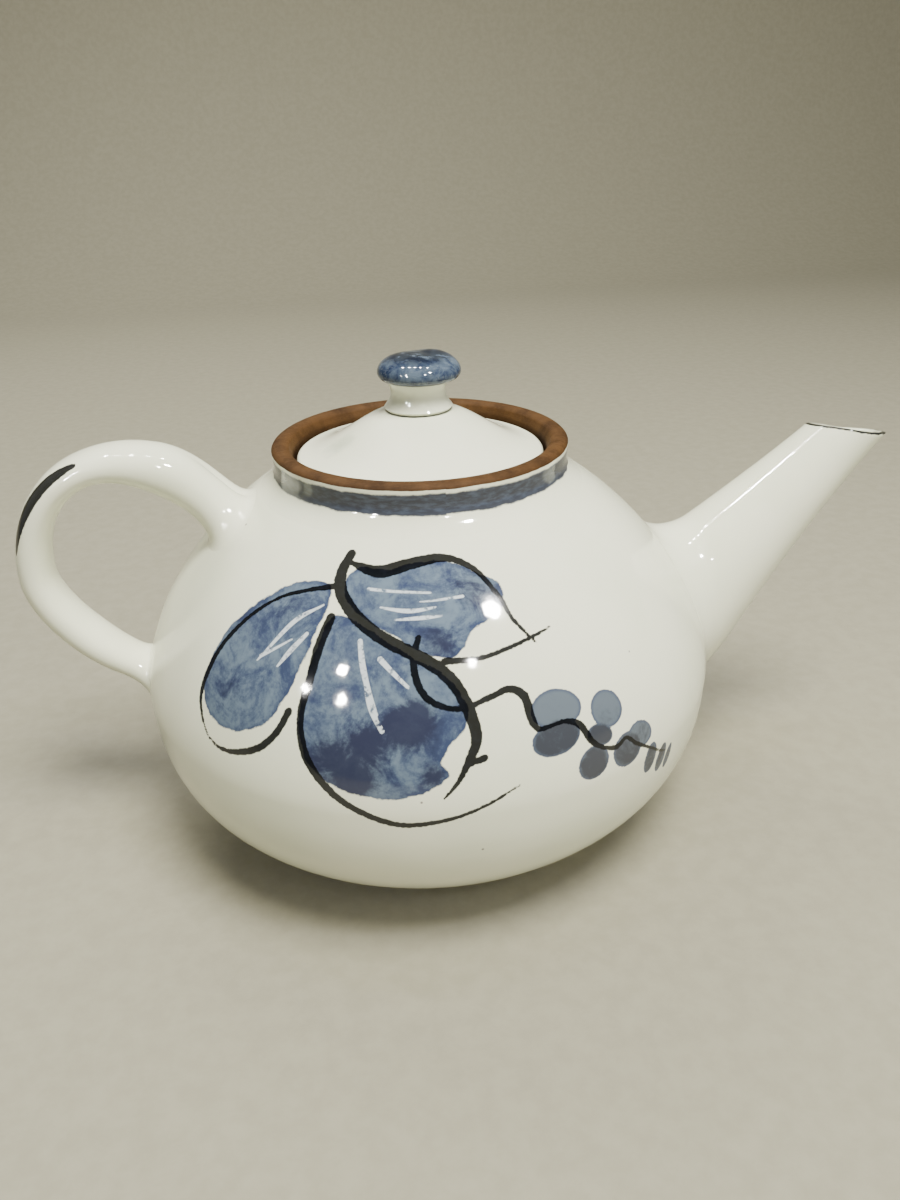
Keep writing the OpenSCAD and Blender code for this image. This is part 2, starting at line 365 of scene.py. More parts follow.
def lobe_field(points, turn, outline):
    edge = np.concatenate([outline, outline[:1]])
    curve = on_pot(edge[:, 0], edge[:, 1])
    curve = stepped(curve, 0.4)
    gap = -near_curve(points, curve, np.zeros(len(curve)))
    return np.where(inside(turn, points[:, 2], outline), gap, -gap)


def berry_outline(turn, z, half_w, half_h, lean):
    a = evenly(40)
    c, s = math.cos(math.radians(lean)), math.sin(math.radians(lean))
    across = half_w * np.cos(a) * c - half_h * np.sin(a) * s
    up = half_w * np.cos(a) * s + half_h * np.sin(a) * c
    per_degree = math.radians(1) * float(belly_radius(np.array(z)))
    return np.stack([turn + across / per_degree, z + up], 1)


def paint_fields(points):
    """The motif as fields over the belly's outside: wash, berries, tone, ink and scratches."""
    turn = np.degrees(np.arctan2(points[:, 0], -points[:, 1]))
    outside = np.abs(np.hypot(points[:, 0], points[:, 1]) - belly_radius(points[:, 2])) < 1
    within = (turn > PAINT_TURN[0]) & (turn < PAINT_TURN[1])
    within &= (points[:, 2] > PAINT_Z[0]) & (points[:, 2] < PAINT_Z[1])
    here = np.flatnonzero(outside & within)
    p, a = points[here], turn[here]
    lobes = (LEFT_LOBE, TOP_LOBE, LOW_LOBE)
    wash = np.max([lobe_field(p, a, curve_through(lobe, closed=True)) for lobe in lobes], axis=0)
    berry, tone = np.full(len(p), -FAR), np.zeros(len(p))
    for turn_mid, z, half_w, half_h, lean, depth in BERRIES:
        field = lobe_field(p, a, berry_outline(turn_mid, z, half_w, half_h, lean))
        berry = np.maximum(berry, field)
        tone = np.maximum(tone, depth * smooth(field, -0.5, 1.2))
    for turn_mid, z, spread, depth in POOLS:
        gap = np.linalg.norm(p - on_pot(turn_mid, z), axis=1)
        tone += depth * np.exp(-((gap / spread) ** 2)) * (berry < -1)
    found = {"wash": wash, "berry": berry, "ink": stroke_field(p, INK),
             "scratch": stroke_field(p, SCRATCHES), "tone": tone}
    fields = {}
    for name, values in found.items():
        fields[name] = np.full(len(points), 0.0 if name == "tone" else -FAR)
        fields[name][here] = values
    return fields


def store(piece, fields):
    """Puts fields, one value per vertex, on a piece's mesh for its material to read."""
    for name, values in fields.items():
        layer = piece.data.attributes.new(name, "FLOAT", "POINT")
        layer.data.foreach_set("value", values.astype(np.float32))


def vertices(piece):
    out = np.empty(len(piece.data.vertices) * 3)
    piece.data.vertices.foreach_get("co", out)
    return out.reshape(-1, 3) / MM


def reshape(piece, points):
    piece.data.vertices.foreach_set("co", (points * MM).ravel())
    piece.data.update()


# ---- the pieces

STRAINER_D, STRAINER_PITCH = 3.0, 6.0
SPOUT_X, SPOUT_Z = 82.0, 56.8
SPOUT_TILT = math.radians(45.4)
SPOUT_ROOT_R, SPOUT_TIP_R, SPOUT_LENGTH = 19.5, 8.5, 82.0
SPOUT_WALL = 3.0
SPOUT_POWER, SPOUT_FLARE = 1.5, 12.0
MOUTH_Z = 105.2
MOUTH_DIP, MOUTH_ROLL = math.radians(9), math.radians(12)
# How deep the spout's and handle's skins sink into the belly, and how firmly they bend onto it.
SKIN_SINK, SKIN_GRIP = 0.12, 0.55


def wall_line(inset, r_low, r_high, step_in, step_out):
    """The belly's side as (radius, height), from r_low up and in to r_high."""
    wide = BELLY_R - inset
    halves = []
    for side, height, power, r_end in ((-1, LOW_H, LOW_N, r_low), (1, HIGH_H, HIGH_N, r_high)):
        a = np.linspace(0, math.acos((r_end / wide) ** (power / 2)), 400)
        halves.append(np.stack([wide * np.cos(a) ** (2 / power),
                                WIDE_Z + side * (height - inset) * np.sin(a) ** (2 / power)], 1))
    dense = np.concatenate([halves[0][::-1], halves[1][1:]])
    length = np.concatenate([[0], np.cumsum(np.linalg.norm(np.diff(dense, axis=0), axis=1))])
    at, places = 0.0, []
    while at < length[-1]:
        places.append(at)
        z = np.interp(at, length, dense[:, 1])
        at += step_in if PAINT_Z[0] < z < PAINT_Z[1] else step_out
    places[-1] = length[-1]
    return np.stack([np.interp(places, length, dense[:, k]) for k in (0, 1)], 1)


def make_belly():
    """The thrown wall, finely meshed where it is painted, and pierced behind the spout."""
    fine, coarse, inside_step = 0.5, 2.6, 4.0
    a0, a1 = (math.radians(t) for t in PAINT_TURN)
    painted = np.arange(a0, a1, fine / BELLY_R)
    rest = np.linspace(a1, a0 + 2 * math.pi, 96, endpoint=False)
    turns = np.concatenate([painted, rest])
    foot_r = float(belly_radius(np.array(FOOT_H)))
    floor_z = FOOT_H + WALL
    floor_r = float(belly_radius(np.array(floor_z), WALL))
    out_side = wall_line(0, foot_r, COLLAR_R, fine, coarse)
    in_side = wall_line(WALL, floor_r, THROAT_R, inside_step, inside_step)[::-1]
    base = [(0, FOOT_H), (15, FOOT_H), (30, FOOT_H), (FOOT_IN_R, FOOT_H)]
    floor = [(30, floor_z), (15, floor_z), (0, floor_z)]
    profile = np.concatenate([base, out_side, [(THROAT_R, COLLAR_Z)], in_side, floor])
    belly = make_piece("belly_wall", *revolved(profile, turns))
    pierce(belly)
    store(belly, paint_fields(vertices(belly)))
    reshape(belly, by_hand(vertices(belly)))
    return belly


def drill(piece, starts, along, radius, sides, sharp):
    """Cuts a round hole through the piece from each start, all along the same way."""
    across, up = unit(np.roll(along, 1)), unit(np.roll(along, 2))
    points, faces = [], []
    for start in starts:
        near = [len(points) + k for k in range(sides)]
        far = [k + sides for k in near]
        for end in (start, start + along):
            points.extend(end + radius * (math.cos(a) * across + math.sin(a) * up) for a in evenly(sides))
        faces += [near[::-1], far]
        faces += [[near[k - 1], near[k], far[k], far[k - 1]] for k in range(sides)]
    tool = make_piece("drill", points, faces)
    cut = piece.modifiers.new("cut", "BOOLEAN")
    cut.operation, cut.solver, cut.object = "DIFFERENCE", "EXACT", tool
    made = bpy.data.meshes.new_from_object(piece.evaluated_get(bpy.context.evaluated_depsgraph_get()))
    piece.modifiers.clear()
    piece.data = made
    bpy.data.objects.remove(tool)
    made.shade_smooth()
    made.set_sharp_from_angle(angle=math.radians(sharp))


def pierce(belly):
    """Cuts the strainer's ring of six holes round a seventh, level through the wall."""
    spots = [(0, 0)] + [(STRAINER_PITCH * math.sin(a), STRAINER_PITCH * math.cos(a)) for a in evenly(6)]
    starts = [np.array([SPOUT_X - 3 * WALL, y, SPOUT_Z + z]) for y, z in spots]
    drill(belly, starts, np.array([4 * WALL, 0, 0]), STRAINER_D / 2, 24, 35)


def make_foot():
    rounding = [(foot_high[0] - 0.9 * (1 - math.cos(a)), 0.9 * (1 - math.sin(a)))
                for a in np.linspace(0, math.pi / 2, 6)]
    inner = [(FOOT_IN_R + 0.9 * (1 - math.cos(a)), 0.9 * (1 - math.sin(a)))
             for a in np.linspace(math.pi / 2, 0, 6)]
    profile = [(foot_high[0] - 0.2, FOOT_H + 0.4)] + rounding + inner + [(FOOT_IN_R - 0.3, FOOT_H + 0.4)]
    points, faces = revolved(profile, evenly(192))
    return make_piece("foot_ring_clay", points, faces)


def make_collar():
    """The gallery ring. Its skirt runs out onto the shoulder without an edge."""
    skirt_r = COLLAR_R + 5.5
    z0, z1 = shoulder_z(skirt_r), shoulder_z(skirt_r + 0.1)
    down = unit(np.array([0.1, z1 - z0]))
    t = np.linspace(0, 1, 14)[:, None]
    skirt = bezier(np.array([skirt_r, z0 - 0.06]), np.array([skirt_r, z0]) - down * 3.0,
                   np.array([COLLAR_R, COLLAR_Z + 0.8]), np.array([COLLAR_R, COLLAR_Z + 3.2]), t)
    lip_in, lip_out = 35.7, COLLAR_R + 0.4
    lip_r = (lip_out - lip_in) / 2
    a = np.linspace(0, math.pi, 22)
    lip = np.stack([lip_in + lip_r * (1 + np.cos(a)), RIM_Z + 0.62 * lip_r * (np.sin(a) - 1)], 1)
    wall = [(COLLAR_R + 0.1, COLLAR_Z + 4.5), (COLLAR_R + 0.3, COLLAR_Z + 6.0)]
    seat = [(GALLERY_R + 0.2, RIM_Z - 2.4), (GALLERY_R, RIM_Z - 3.2), (GALLERY_R, LEDGE_Z + 0.4),
            (GALLERY_R - 0.5, LEDGE_Z), (THROAT_R + 0.6, LEDGE_Z), (THROAT_R, LEDGE_Z - 0.7),
            (THROAT_R, COLLAR_Z - 0.3)]
    under = [(COLLAR_R, COLLAR_Z - 1.5)]
    points, faces = revolved(np.concatenate([skirt, wall, lip, seat, under]), evenly(288))
    return make_piece("collar_rim", points, faces, sharp=50)


SPOUT_ALONG = np.array([math.cos(SPOUT_TILT), 0, math.sin(SPOUT_TILT)])
SPOUT_UP = np.array([-math.sin(SPOUT_TILT), 0, math.cos(SPOUT_TILT)])
SPOUT_SIDE = np.array([0, 1.0, 0])
SPOUT_START = np.array([SPOUT_X, 0, SPOUT_Z])


def spout_point(turns, s, wall=0.0):
    """Points round the spout at distances s along its axis. Turn 0 is its upper side."""
    s = np.broadcast_to(s, turns.shape)
    taper = np.clip(1 - np.maximum(s, 0) / SPOUT_LENGTH, 0, None) ** SPOUT_POWER
    flare_slope = SPOUT_POWER * (SPOUT_ROOT_R - SPOUT_TIP_R) / SPOUT_LENGTH
    flare = flare_slope * SPOUT_FLARE * (1 - np.exp(np.minimum(s, 0) / SPOUT_FLARE))
    r = SPOUT_TIP_R + (SPOUT_ROOT_R - SPOUT_TIP_R) * taper + flare - wall
    return (SPOUT_START + s[:, None] * SPOUT_ALONG
            + (r * np.cos(turns))[:, None] * SPOUT_UP + (r * np.sin(turns))[:, None] * SPOUT_SIDE)


def mouth_gap(p):
    """Height of points above the mouth's slightly wavy cut."""
    middle = np.array([SPOUT_X + (MOUTH_Z - SPOUT_Z) / math.tan(SPOUT_TILT), 0, MOUTH_Z])
    normal = unit(np.array([math.sin(MOUTH_DIP), math.sin(MOUTH_ROLL), math.cos(MOUTH_DIP)]))
    rel = p - middle
    wave = 0.35 + 0.3 * np.sin(rel[:, 0] / 3.5 + 4) + 0.2 * np.sin(rel[:, 1] / 4)
    return rel @ normal - wave, normal


def mouth_s(turns, wall):
    """The distance along the axis at which each side of the spout reaches the mouth."""
    return bisected(len(turns), 40, 100, lambda s: mouth_gap(spout_point(turns, s, wall))[0] > 0)


def along_belly(v, normal):
    """The directions v, laid flat on the surface with these normals."""
    return unit(v - (v * normal).sum(1)[:, None] * normal)


def skin(start, leave, end, arrive, rings):
    """Rings of a skin that leaves start by one vector and sinks into the belly by another."""
    normal = belly_normal(end)
    out = []
    for t in np.linspace(0, 1, rings):
        ring = bezier(start, start + leave, end - arrive, end, t)
        out.append(ring - normal * SKIN_SINK * smooth(t, 0.75, 1.0))
    return out


def belly_blend(start, along, hit, away, reach, rings):
    """A skin that goes on from a tube along its side and runs out over the belly."""
    flat = along_belly(away, belly_normal(hit))
    steps = 6
    end = hit
    for _ in range(steps):
        end = onto_belly(end + flat * (reach / steps)[:, None])
        flat = along_belly(flat, belly_normal(end))
    first = np.linalg.norm(hit - start, axis=1)[:, None]
    return skin(start, along * first * SKIN_GRIP, end, flat * reach[:, None] * SKIN_GRIP, rings)


def spout_meets_belly(turns, wall=0.0):
    """The distance along the axis at which each side of the spout enters the belly."""
    return bisected(len(turns), -34, 40, lambda s: belly_level(spout_point(turns, s, wall))[0] >= 0)


def make_spout():
    """A tapered tube that grows out of the belly, with a hand-cut mouth."""
    turns = evenly(168)
    lip_drop, lip_line_w, chip_r = 0.4, 1.5, 1.6
    outer_s, inner_s = (mouth_s(turns, wall) - lip_drop for wall in (0, SPOUT_WALL))
    # The valley above the root is the widest part of the fillet.
    upper = 0.5 + 0.5 * np.cos(turns)
    enter_s = spout_meets_belly(turns)
    leave_s = enter_s + 5 + 9 * upper
    start, hit = spout_point(turns, leave_s), spout_point(turns, enter_s)
    down = unit(spout_point(turns, leave_s - 0.5) - start)
    on_axis = SPOUT_START + ((hit - SPOUT_START) @ SPOUT_ALONG)[:, None] * SPOUT_ALONG
    skirt = belly_blend(start, down, hit, unit(hit - on_axis), 3 + 7 * upper, 22)
    sides = [spout_point(turns, leave_s + (outer_s - leave_s) * t) for t in np.linspace(0, 1, 60)]
    outer_edge, inner_edge = sides[-1], spout_point(turns, inner_s, SPOUT_WALL)
    middle, half = (outer_edge + inner_edge) / 2, (outer_edge - inner_edge) / 2
    rise = mouth_gap(outer_edge)[1] * lip_drop
    lip = [middle + half * np.sign(math.cos(a)) * abs(math.cos(a)) ** 0.7 + rise * math.sin(a) ** 0.7
           for a in np.linspace(0, math.pi, 12)[1:-1]]
    bore_s = spout_meets_belly(turns, SPOUT_WALL) - 1
    bore = [spout_point(turns, inner_s + (bore_s - inner_s) * t, SPOUT_WALL)
            for t in np.linspace(0, 1, 30)]
    root = onto_belly(hit) - belly_normal(hit) * 1.0
    rings = skirt[::-1] + sides[1:] + lip + bore + [root]
    points, faces = lofted(rings, closed=True)
    spout = make_piece("spout_tube", points, faces, sharp=60)
    rim = lip[2]
    rim = np.concatenate([rim, rim[:1]])
    places = vertices(spout)
    lip_ink = near_curve(places, rim, np.full(len(rim), lip_line_w))
    tip = rim[np.argmax(rim[:, 0])]
    bare = chip_r - np.linalg.norm(places - tip, axis=1)
    store(spout, {"ink": lip_ink, "bare": np.maximum(bare, -FAR)})
    reshape(spout, by_hand(vertices(spout)))
    return spout


HANDLE_ROOT, HANDLE_RISE = np.array([-51, 96.5]), np.array([-83, 128])
HANDLE_BEND = np.array([-107, 83.5])
BEND_UP, BEND_DOWN = np.array([0, 25]), np.array([0, 12])
HANDLE_TUCK, HANDLE_TAIL = np.array([-91.5, 54.5]), np.array([-81, 51])
# The strap's thickness and width from its root to its tail, at t of 0, 0.5 ... 2.
STRAP_T = [16, 8.5, 9, 9.5, 7.5]
STRAP_W = [17.5, 17, 17, 16.5, 15]
STRAP_POWER = 0.9
# Where a dry brush of dark pigment ran along the outer face, and how wide it is at most.
SPINE_STROKE, SPINE_WIDTH = (0.48, 0.9), 4.6
# The root's patch on the shoulder: its ends along X, and its half-width.
ROOT_PATCH = (-45.0, -61.5, 17.0)


def handle_path(t):
    """The strap's middle at t from 0, its root, to 2, its tail, as (x, z)."""
    t = np.asarray(t, float)[:, None]
    upper = bezier(HANDLE_ROOT, HANDLE_RISE, HANDLE_BEND + BEND_UP, HANDLE_BEND, np.clip(t, None, 1))
    lower = bezier(HANDLE_BEND, HANDLE_BEND - BEND_DOWN, HANDLE_TUCK, HANDLE_TAIL, np.clip(t - 1, 0, None))
    return np.where(t < 1, upper, lower)


def eased_table(values, t):
    """A smooth run through values that stand half a unit of t apart."""
    i = min(int(t * 2), len(values) - 2)
    step = smooth(t * 2 - i, 0, 1)
    return values[i] + (values[i + 1] - values[i]) * step


def strap_ring(turns, t):
    """The strap's oval section at t. Turn 0 is its outer face."""
    here = handle_path([t])[0]
    ahead = unit(handle_path([t + 0.004])[0] - handle_path([t - 0.004])[0])
    out = np.array([ahead[1], -ahead[0]])
    c, s = np.cos(turns), np.sin(turns)
    a = eased_table(STRAP_T, t) / 2 * np.sign(c) * np.abs(c) ** STRAP_POWER
    b = eased_table(STRAP_W, t) / 2 * np.sign(s) * np.abs(s) ** STRAP_POWER
    return np.stack([here[0] + a * out[0], b, here[1] + a * out[1]], 1)


def root_blend(turns, t):
    """The strap's root, smeared out over an oval patch of the shoulder."""
    ring = strap_ring(turns, t)
    along = unit(ring - strap_ring(turns, t + 0.01))
    near_x, far_x, half_y = ROOT_PATCH
    across, sideways = (near_x - far_x) / 2 * np.cos(turns), half_y * np.sin(turns)
    x = (near_x + far_x) / 2 + across
    end = np.stack([x, sideways, shoulder_z(np.hypot(x, sideways))], 1)
    away = unit(np.stack([across, sideways, 0 * across], 1))
    span = np.linalg.norm(end - ring, axis=1)[:, None]
    arrive = along_belly(away, belly_normal(end)) * span * 0.35
    return skin(ring, along * span * 0.5, end, arrive, 30)


def tail_blend(turns, t, reach):
    """The strap's tail, pressed onto the belly."""
    ring = strap_ring(turns, t)
    along = unit(ring - strap_ring(turns, t - 0.01))
    hit = meets_belly(ring, along, 60)
    return belly_blend(ring, along, hit, unit(hit - hit.mean(0)), reach, 16)


def capped(rings, faces, points):
    """Closes both ends of a loft with fans round a point sunk into the belly."""
    count = len(rings[0])
    middles = [(ring - 2 * belly_normal(ring)).mean(0) for ring in (rings[0], rings[-1])]
    last = len(points)
    end = (len(rings) - 1) * count
    fans = [[(k + 1) % count, k, last] for k in range(count)]
    fans += [[end + k, end + (k + 1) % count, last + 1] for k in range(count)]
    return np.concatenate([points, middles]), faces + fans


def make_handle():
    """The pulled strap, smeared onto the shoulder at its root and pressed on at its tail."""
    turns = evenly(72)
    t_root, t_tail = 0.24, 1.8
    outer = 0.5 + 0.5 * np.cos(turns)
    root = root_blend(turns, t_root)
    tail = tail_blend(turns, t_tail, 2 + 4.5 * outer**2)
    strap = [strap_ring(turns, t) for t in np.linspace(t_root, t_tail, 130)]
    rings = root[::-1] + strap[1:-1] + tail
    points, faces = lofted(rings)
    points, faces = capped(rings, faces, points)
    handle = make_piece("handle_strap", points, faces, sharp=60)
    stroke = np.linspace(*SPINE_STROKE, 60)
    painted_side = -9
    spine = np.array([strap_ring(turns, t)[painted_side] for t in stroke])
    width = SPINE_WIDTH * np.sin(np.linspace(0.25, math.pi - 0.05, 60)) ** 0.6
    store(handle, {"ink": near_curve(vertices(handle), spine, width)})
    reshape(handle, by_hand(vertices(handle)))
    return handle


# The lid: the brim slopes up to where the dome begins, and the dome swells until the stem.
LID_EDGE, LID_RISE, LID_WALL = 3.0, 7.6, 3.9
BRIM_SLOPE, DOME_FROM, DOME_TO = 0.15, 32.0, 7.0
FLANGE_T, VENT_D, STEM_FOOT_R = 3.5, 3.0, 9.3


def dome_z(r):
    """Height of the lid's top: a gently sloping brim and a dome that swells out of it."""
    lid_r, edge_z = dome_high[0], dome_low[2] + LID_EDGE
    t = np.clip((r - DOME_TO) / (DOME_FROM - DOME_TO), 0, 1)
    return edge_z + BRIM_SLOPE * (lid_r - r) + LID_RISE * (1 + np.cos(math.pi * t)) / 2


def make_dome():
    """The lid's disc: brim, dome and the hollow below it, with a steam hole behind the knob."""
    lid_r, under = dome_high[0], dome_low[2]
    flange_in = flange_high[0] - FLANGE_T
    low_r, round_r = 0.6, 1.1
    a = np.linspace(0, math.pi / 2, 7)
    edge_low = np.stack([lid_r - low_r + low_r * np.sin(a), under + low_r - low_r * np.cos(a)], 1)
    edge_high = np.stack([lid_r - round_r + round_r * np.cos(a),
                          dome_z(lid_r - round_r) - round_r * (1 - np.sin(a))], 1)
    r = np.linspace(lid_r - round_r - 0.5, STEM_FOOT_R, 60)
    face = np.stack([r, dome_z(r)], 1)
    r = np.linspace(0, flange_in, 12)
    hollow = np.stack([r, under + (dome_z(0) - LID_WALL - under) * (1 - (r / flange_in) ** 2)], 1)
    flat = [(4, dome_z(STEM_FOOT_R)), (0, dome_z(STEM_FOOT_R))]
    profile = np.concatenate([hollow, [(30, under)], edge_low, edge_high, face, flat])
    dome = make_piece("dome_shell", *revolved(profile, evenly(240)), sharp=50)
    vent = np.array([0, (STEM_FOOT_R + flange_in) / 2, under - 3])
    drill(dome, [vent], np.array([0, 0, dome_z(0) - under + 6]), VENT_D / 2, 20, 50)
    return dome


def make_flange():
    low, high = flange_low[2], flange_high[2]
    outer = flange_high[0]
    inner = outer - FLANGE_T
    a = np.linspace(0, math.pi, 12)
    foot = np.stack([(outer + inner) / 2 + 1.75 * np.cos(a), low + 1.4 - 1.4 * np.sin(a)], 1)
    profile = np.concatenate([[(outer, high)], foot, [(inner, high)]])
    return make_piece("flange_ring", *revolved(profile, evenly(192)))


def make_stem():
    low, high = stem_low[2], stem_high[2]
    foot_r, waist_r, neck_r = stem_high[0], 7.5, 8.4
    t = np.linspace(0, 1, 26)
    ends = foot_r + (neck_r - foot_r) * t
    pinch = ((foot_r + neck_r) / 2 - waist_r) * np.sin(math.pi * t)
    side = np.stack([ends - pinch, low + 1 + (high - low - 1) * t], 1)
    edge = [(foot_r - 1.2, low - 0.5), (foot_r - 0.9, low + 0.1), (foot_r - 0.3, low + 0.45)]
    profile = np.concatenate([[(0, low - 0.5)], edge, side, [(0, high)]])
    return make_piece("stem_glazed", *revolved(profile, evenly(128)), sharp=60)


def make_cap():
    """A flattened button with the dents of the thumb that shaped it."""
    low, high = cap_low[2], cap_high[2]
    knob_r, under_r = cap_high[0], 8.4
    wide_z = low + 0.3 * (high - low)
    a = np.linspace(0, math.pi / 2, 18)
    lower = np.stack([under_r + (knob_r - under_r) * np.sin(a), wide_z - (wide_z - low) * np.cos(a)], 1)
    upper = np.stack([knob_r * np.cos(a) ** 0.8, wide_z + (high - wide_z) * np.sin(a)], 1)[1:]
    upper[-1, 0] = 0
    points, faces = revolved(np.concatenate([[(0, low)], lower, upper]), evenly(144))
    turn = np.arctan2(points[:, 1], points[:, 0])
    rho = np.hypot(points[:, 0], points[:, 1])
    top = smooth(points[:, 2], wide_z, high)
    dents = 0.35 * np.sin(2 * turn + 0.5) + 0.25 * np.sin(3 * turn)
    points[:, 2] += top * (dents * rho / knob_r - 0.2)
    points[:, 0] += 0.5
    return make_piece("knob_button", points, faces, sharp=60)


# ---- materials


def srgb(*screen):
    """A colour given as it looks on a screen, 0 to 255, for a shader."""
    c = np.array(screen) / 255
    linear = np.where(c <= 0.04045, c / 12.92, ((c + 0.055) / 1.055) ** 2.4)
    return (*linear.tolist(), 1)


# Which sockets of a Mix node hold its two inputs and its result.
MIX_SOCKETS = {"FLOAT": (2, 3, 0), "VECTOR": (4, 5, 1), "RGBA": (6, 7, 2)}


class Graph:
    """A material and short names for the nodes it is built from."""

    def __init__(self, name):
        self.material = bpy.data.materials.new(name)
        self.material.use_nodes = True
        self.tree = self.material.node_tree
        self.shader = self.tree.nodes["Principled BSDF"]
        self.place = self.node("ShaderNodeTexCoord").outputs["Object"]

    def node(self, kind, inputs=(), **settings):
        made = self.tree.nodes.new(kind)
        for key, value in settings.items():
            setattr(made, key, value)
        for key, value in dict(inputs).items():
            self.put(made.inputs[key], value)
        return made

    def put(self, socket, value):
        if isinstance(value, bpy.types.NodeSocket):
            self.tree.links.new(value, socket)
        else:
            socket.default_value = value

    def noise(self, size_mm, detail=3, rough=0.5, place=None, warp=0.0):
        """Noise from 0 to 1 with features of about size_mm."""
        return self.node("ShaderNodeTexNoise", {
            "Vector": place or self.place, "Scale": 1 / (size_mm * MM), "Detail": detail,
            "Roughness": rough, "Distortion": warp}).outputs["Fac"]

    def math(self, operation, a, b=0.0):
        made = self.node("ShaderNodeMath", operation=operation)
        self.put(made.inputs[0], a)
        self.put(made.inputs[1], b)
        return made.outputs[0]

    def times(self, a, b):
        return self.math("MULTIPLY", a, b)

    def plus(self, a, b):
        return self.math("ADD", a, b)

    def wander(self, noise, amount):
        """Noise made to swing by half of amount each way."""
        return self.times(self.math("SUBTRACT", noise, 0.5), amount)

    def height(self):
        """Height in millimetres."""
        return self.times(self.axis("Z"), 1 / MM)

    def radius(self):
        """Distance from the wheel's axis in millimetres."""
        x, y = self.axis("X"), self.axis("Y")
        return self.times(self.math("SQRT", self.plus(self.times(x, x), self.times(y, y))), 1 / MM)

    def step(self, value, low, high, start=0.0, end=1.0):
        """value eased from start to end as it goes from low to high."""
        return self.node("ShaderNodeMapRange", {
            "Value": value, "From Min": low, "From Max": high, "To Min": start, "To Max": end},
            interpolation_type="SMOOTHSTEP").outputs["Result"]

    def mix(self, amount, a, b, kind="RGBA"):
        from_a, from_b, out = MIX_SOCKETS[kind]
        made = self.node("ShaderNodeMix", data_type=kind)
        self.put(made.inputs["Factor"], amount)
        self.put(made.inputs[from_a], a)
        self.put(made.inputs[from_b], b)
        return made.outputs[out]

    def field(self, name):
        return self.node("ShaderNodeAttribute", attribute_name=name).outputs["Fac"]

    def axis(self, name):
        return self.node("ShaderNodeSeparateXYZ", {"Vector": self.place}).outputs[name]

    def around(self, radius_mm, z_stretch=1.0):
        """Coordinates that run round the pot: (arc length, height), so streaks follow the wheel."""
        x, y, z = (self.axis(n) for n in "XYZ")
        arc = self.times(self.math("ARCTAN2", x, y), radius_mm * MM)
        return self.node("ShaderNodeCombineXYZ", {
            "X": arc, "Y": self.times(z, z_stretch), "Z": 0.0}).outputs["Vector"]

    def bump(self, height, depth_mm, strength=1.0, normal=None):
        inputs = {"Height": height, "Distance": depth_mm * MM, "Strength": strength}
        if normal is not None:
            inputs["Normal"] = normal
        return self.node("ShaderNodeBump", inputs).outputs["Normal"]

    def finish(self, colour, roughness, normal):
        self.put(self.shader.inputs["Base Color"], colour)
        self.put(self.shader.inputs["Roughness"], roughness)
        self.put(self.shader.inputs["Normal"], normal)
        return self.material


# Pigments and clay. The glaze over them lightens them, so they are darker than they look.
INK_COLOUR = srgb(3, 4, 6)
INK_THIN = srgb(18, 20, 27)
WASH_LIGHT = srgb(92, 109, 127)
WASH_MID = srgb(34, 50, 86)
WASH_DEEP = srgb(0, 10, 54)
BERRY_LIGHT = srgb(82, 94, 108)
BERRY_DARK = srgb(0, 9, 42)
SCRATCHED = srgb(205, 213, 218)
BAND_LIGHT = srgb(52, 63, 88)
BAND_DARK = srgb(14, 23, 50)
BAND_THIN = srgb(74, 76, 76)
CLAY = srgb(78, 54, 29)
CLAY_DARK = srgb(50, 33, 16)
CLAY_STREAK = srgb(88, 63, 36)
CLAY_GROG = srgb(40, 26, 14)
# Painted shade for the bare clay deep in the gallery.
CLAY_SHADE = srgb(30, 18, 9)
CLAY_SHINE = 0.08
GLAZE_WARM = srgb(234, 235, 212)
GLAZE_GREEN = srgb(227, 230, 205)
GLAZE_MILK = srgb(238, 237, 218)
GLAZE_IOR = 1.45
IRON_SPECK = srgb(70, 62, 52)
# Painted shade for the crevice where the stem meets the dome.
CREVICE_SHADE = srgb(66, 66, 58)
KNOB_PALE = srgb(84, 97, 112)
KNOB_BLUE = srgb(30, 42, 68)
KNOB_SPECK = srgb(112, 118, 120)
KNOB_CROWN = srgb(5, 9, 24)
# Painted shade under the button's rim.
KNOB_UNDER_SHADE = srgb(46, 50, 66)
# Faint darker patches on the lid, painted shade and glaze pooling at the concave step between brim and
# dome: where they are, how far they spread, their colour and strength.
LID_SHADE_AND_POOLING = [
    ((-21, -4, 112), 7, srgb(150, 164, 140), 0.45),
    ((19, 6, 113), 8, srgb(150, 142, 122), 0.45),
    ((-10, 2, 120), 4, srgb(160, 152, 136), 0.4),
]


def glaze_colour(g):
    """Milky tin glaze: warm white with greener, thinner drifts."""
    colour = g.mix(g.step(g.noise(38, 3, 0.55), 0.35, 0.7), GLAZE_WARM, GLAZE_GREEN)
    return g.mix(g.step(g.noise(9, 4, 0.6), 0.5, 0.8, 0, 0.35), colour, GLAZE_MILK)


def specked_glaze(g):
    """Glaze with sparse iron specks, a fraction of a millimetre across."""
    cells = g.node("ShaderNodeTexVoronoi", {"Vector": g.place, "Scale": 1 / (7 * MM), "Randomness": 1.0})
    rare = g.node("ShaderNodeSeparateColor", {"Color": cells.outputs["Color"]}).outputs[0]
    spot = g.step(cells.outputs["Distance"], 0.035, 0.065, 1, 0)
    chosen = g.times(g.step(rare, 0.86, 0.87), 0.75)
    return g.mix(g.times(spot, chosen), glaze_colour(g), IRON_SPECK)


def glaze_skin(g):
    """Roughness and normal of the fired glaze: glossy, faintly rippled by the wheel."""
    normal = g.bump(g.noise(5, 2, 0.5), 0.10, 0.35)
    normal = g.bump(g.noise(30, 1, 0.4), 0.5, 0.35, normal)
    return g.step(g.noise(14, 3, 0.6), 0.3, 0.75, 0.04, 0.09), normal


def finish_glaze(g, colour):
    g.shader.inputs["IOR"].default_value = GLAZE_IOR
    return g.finish(colour, *glaze_skin(g))


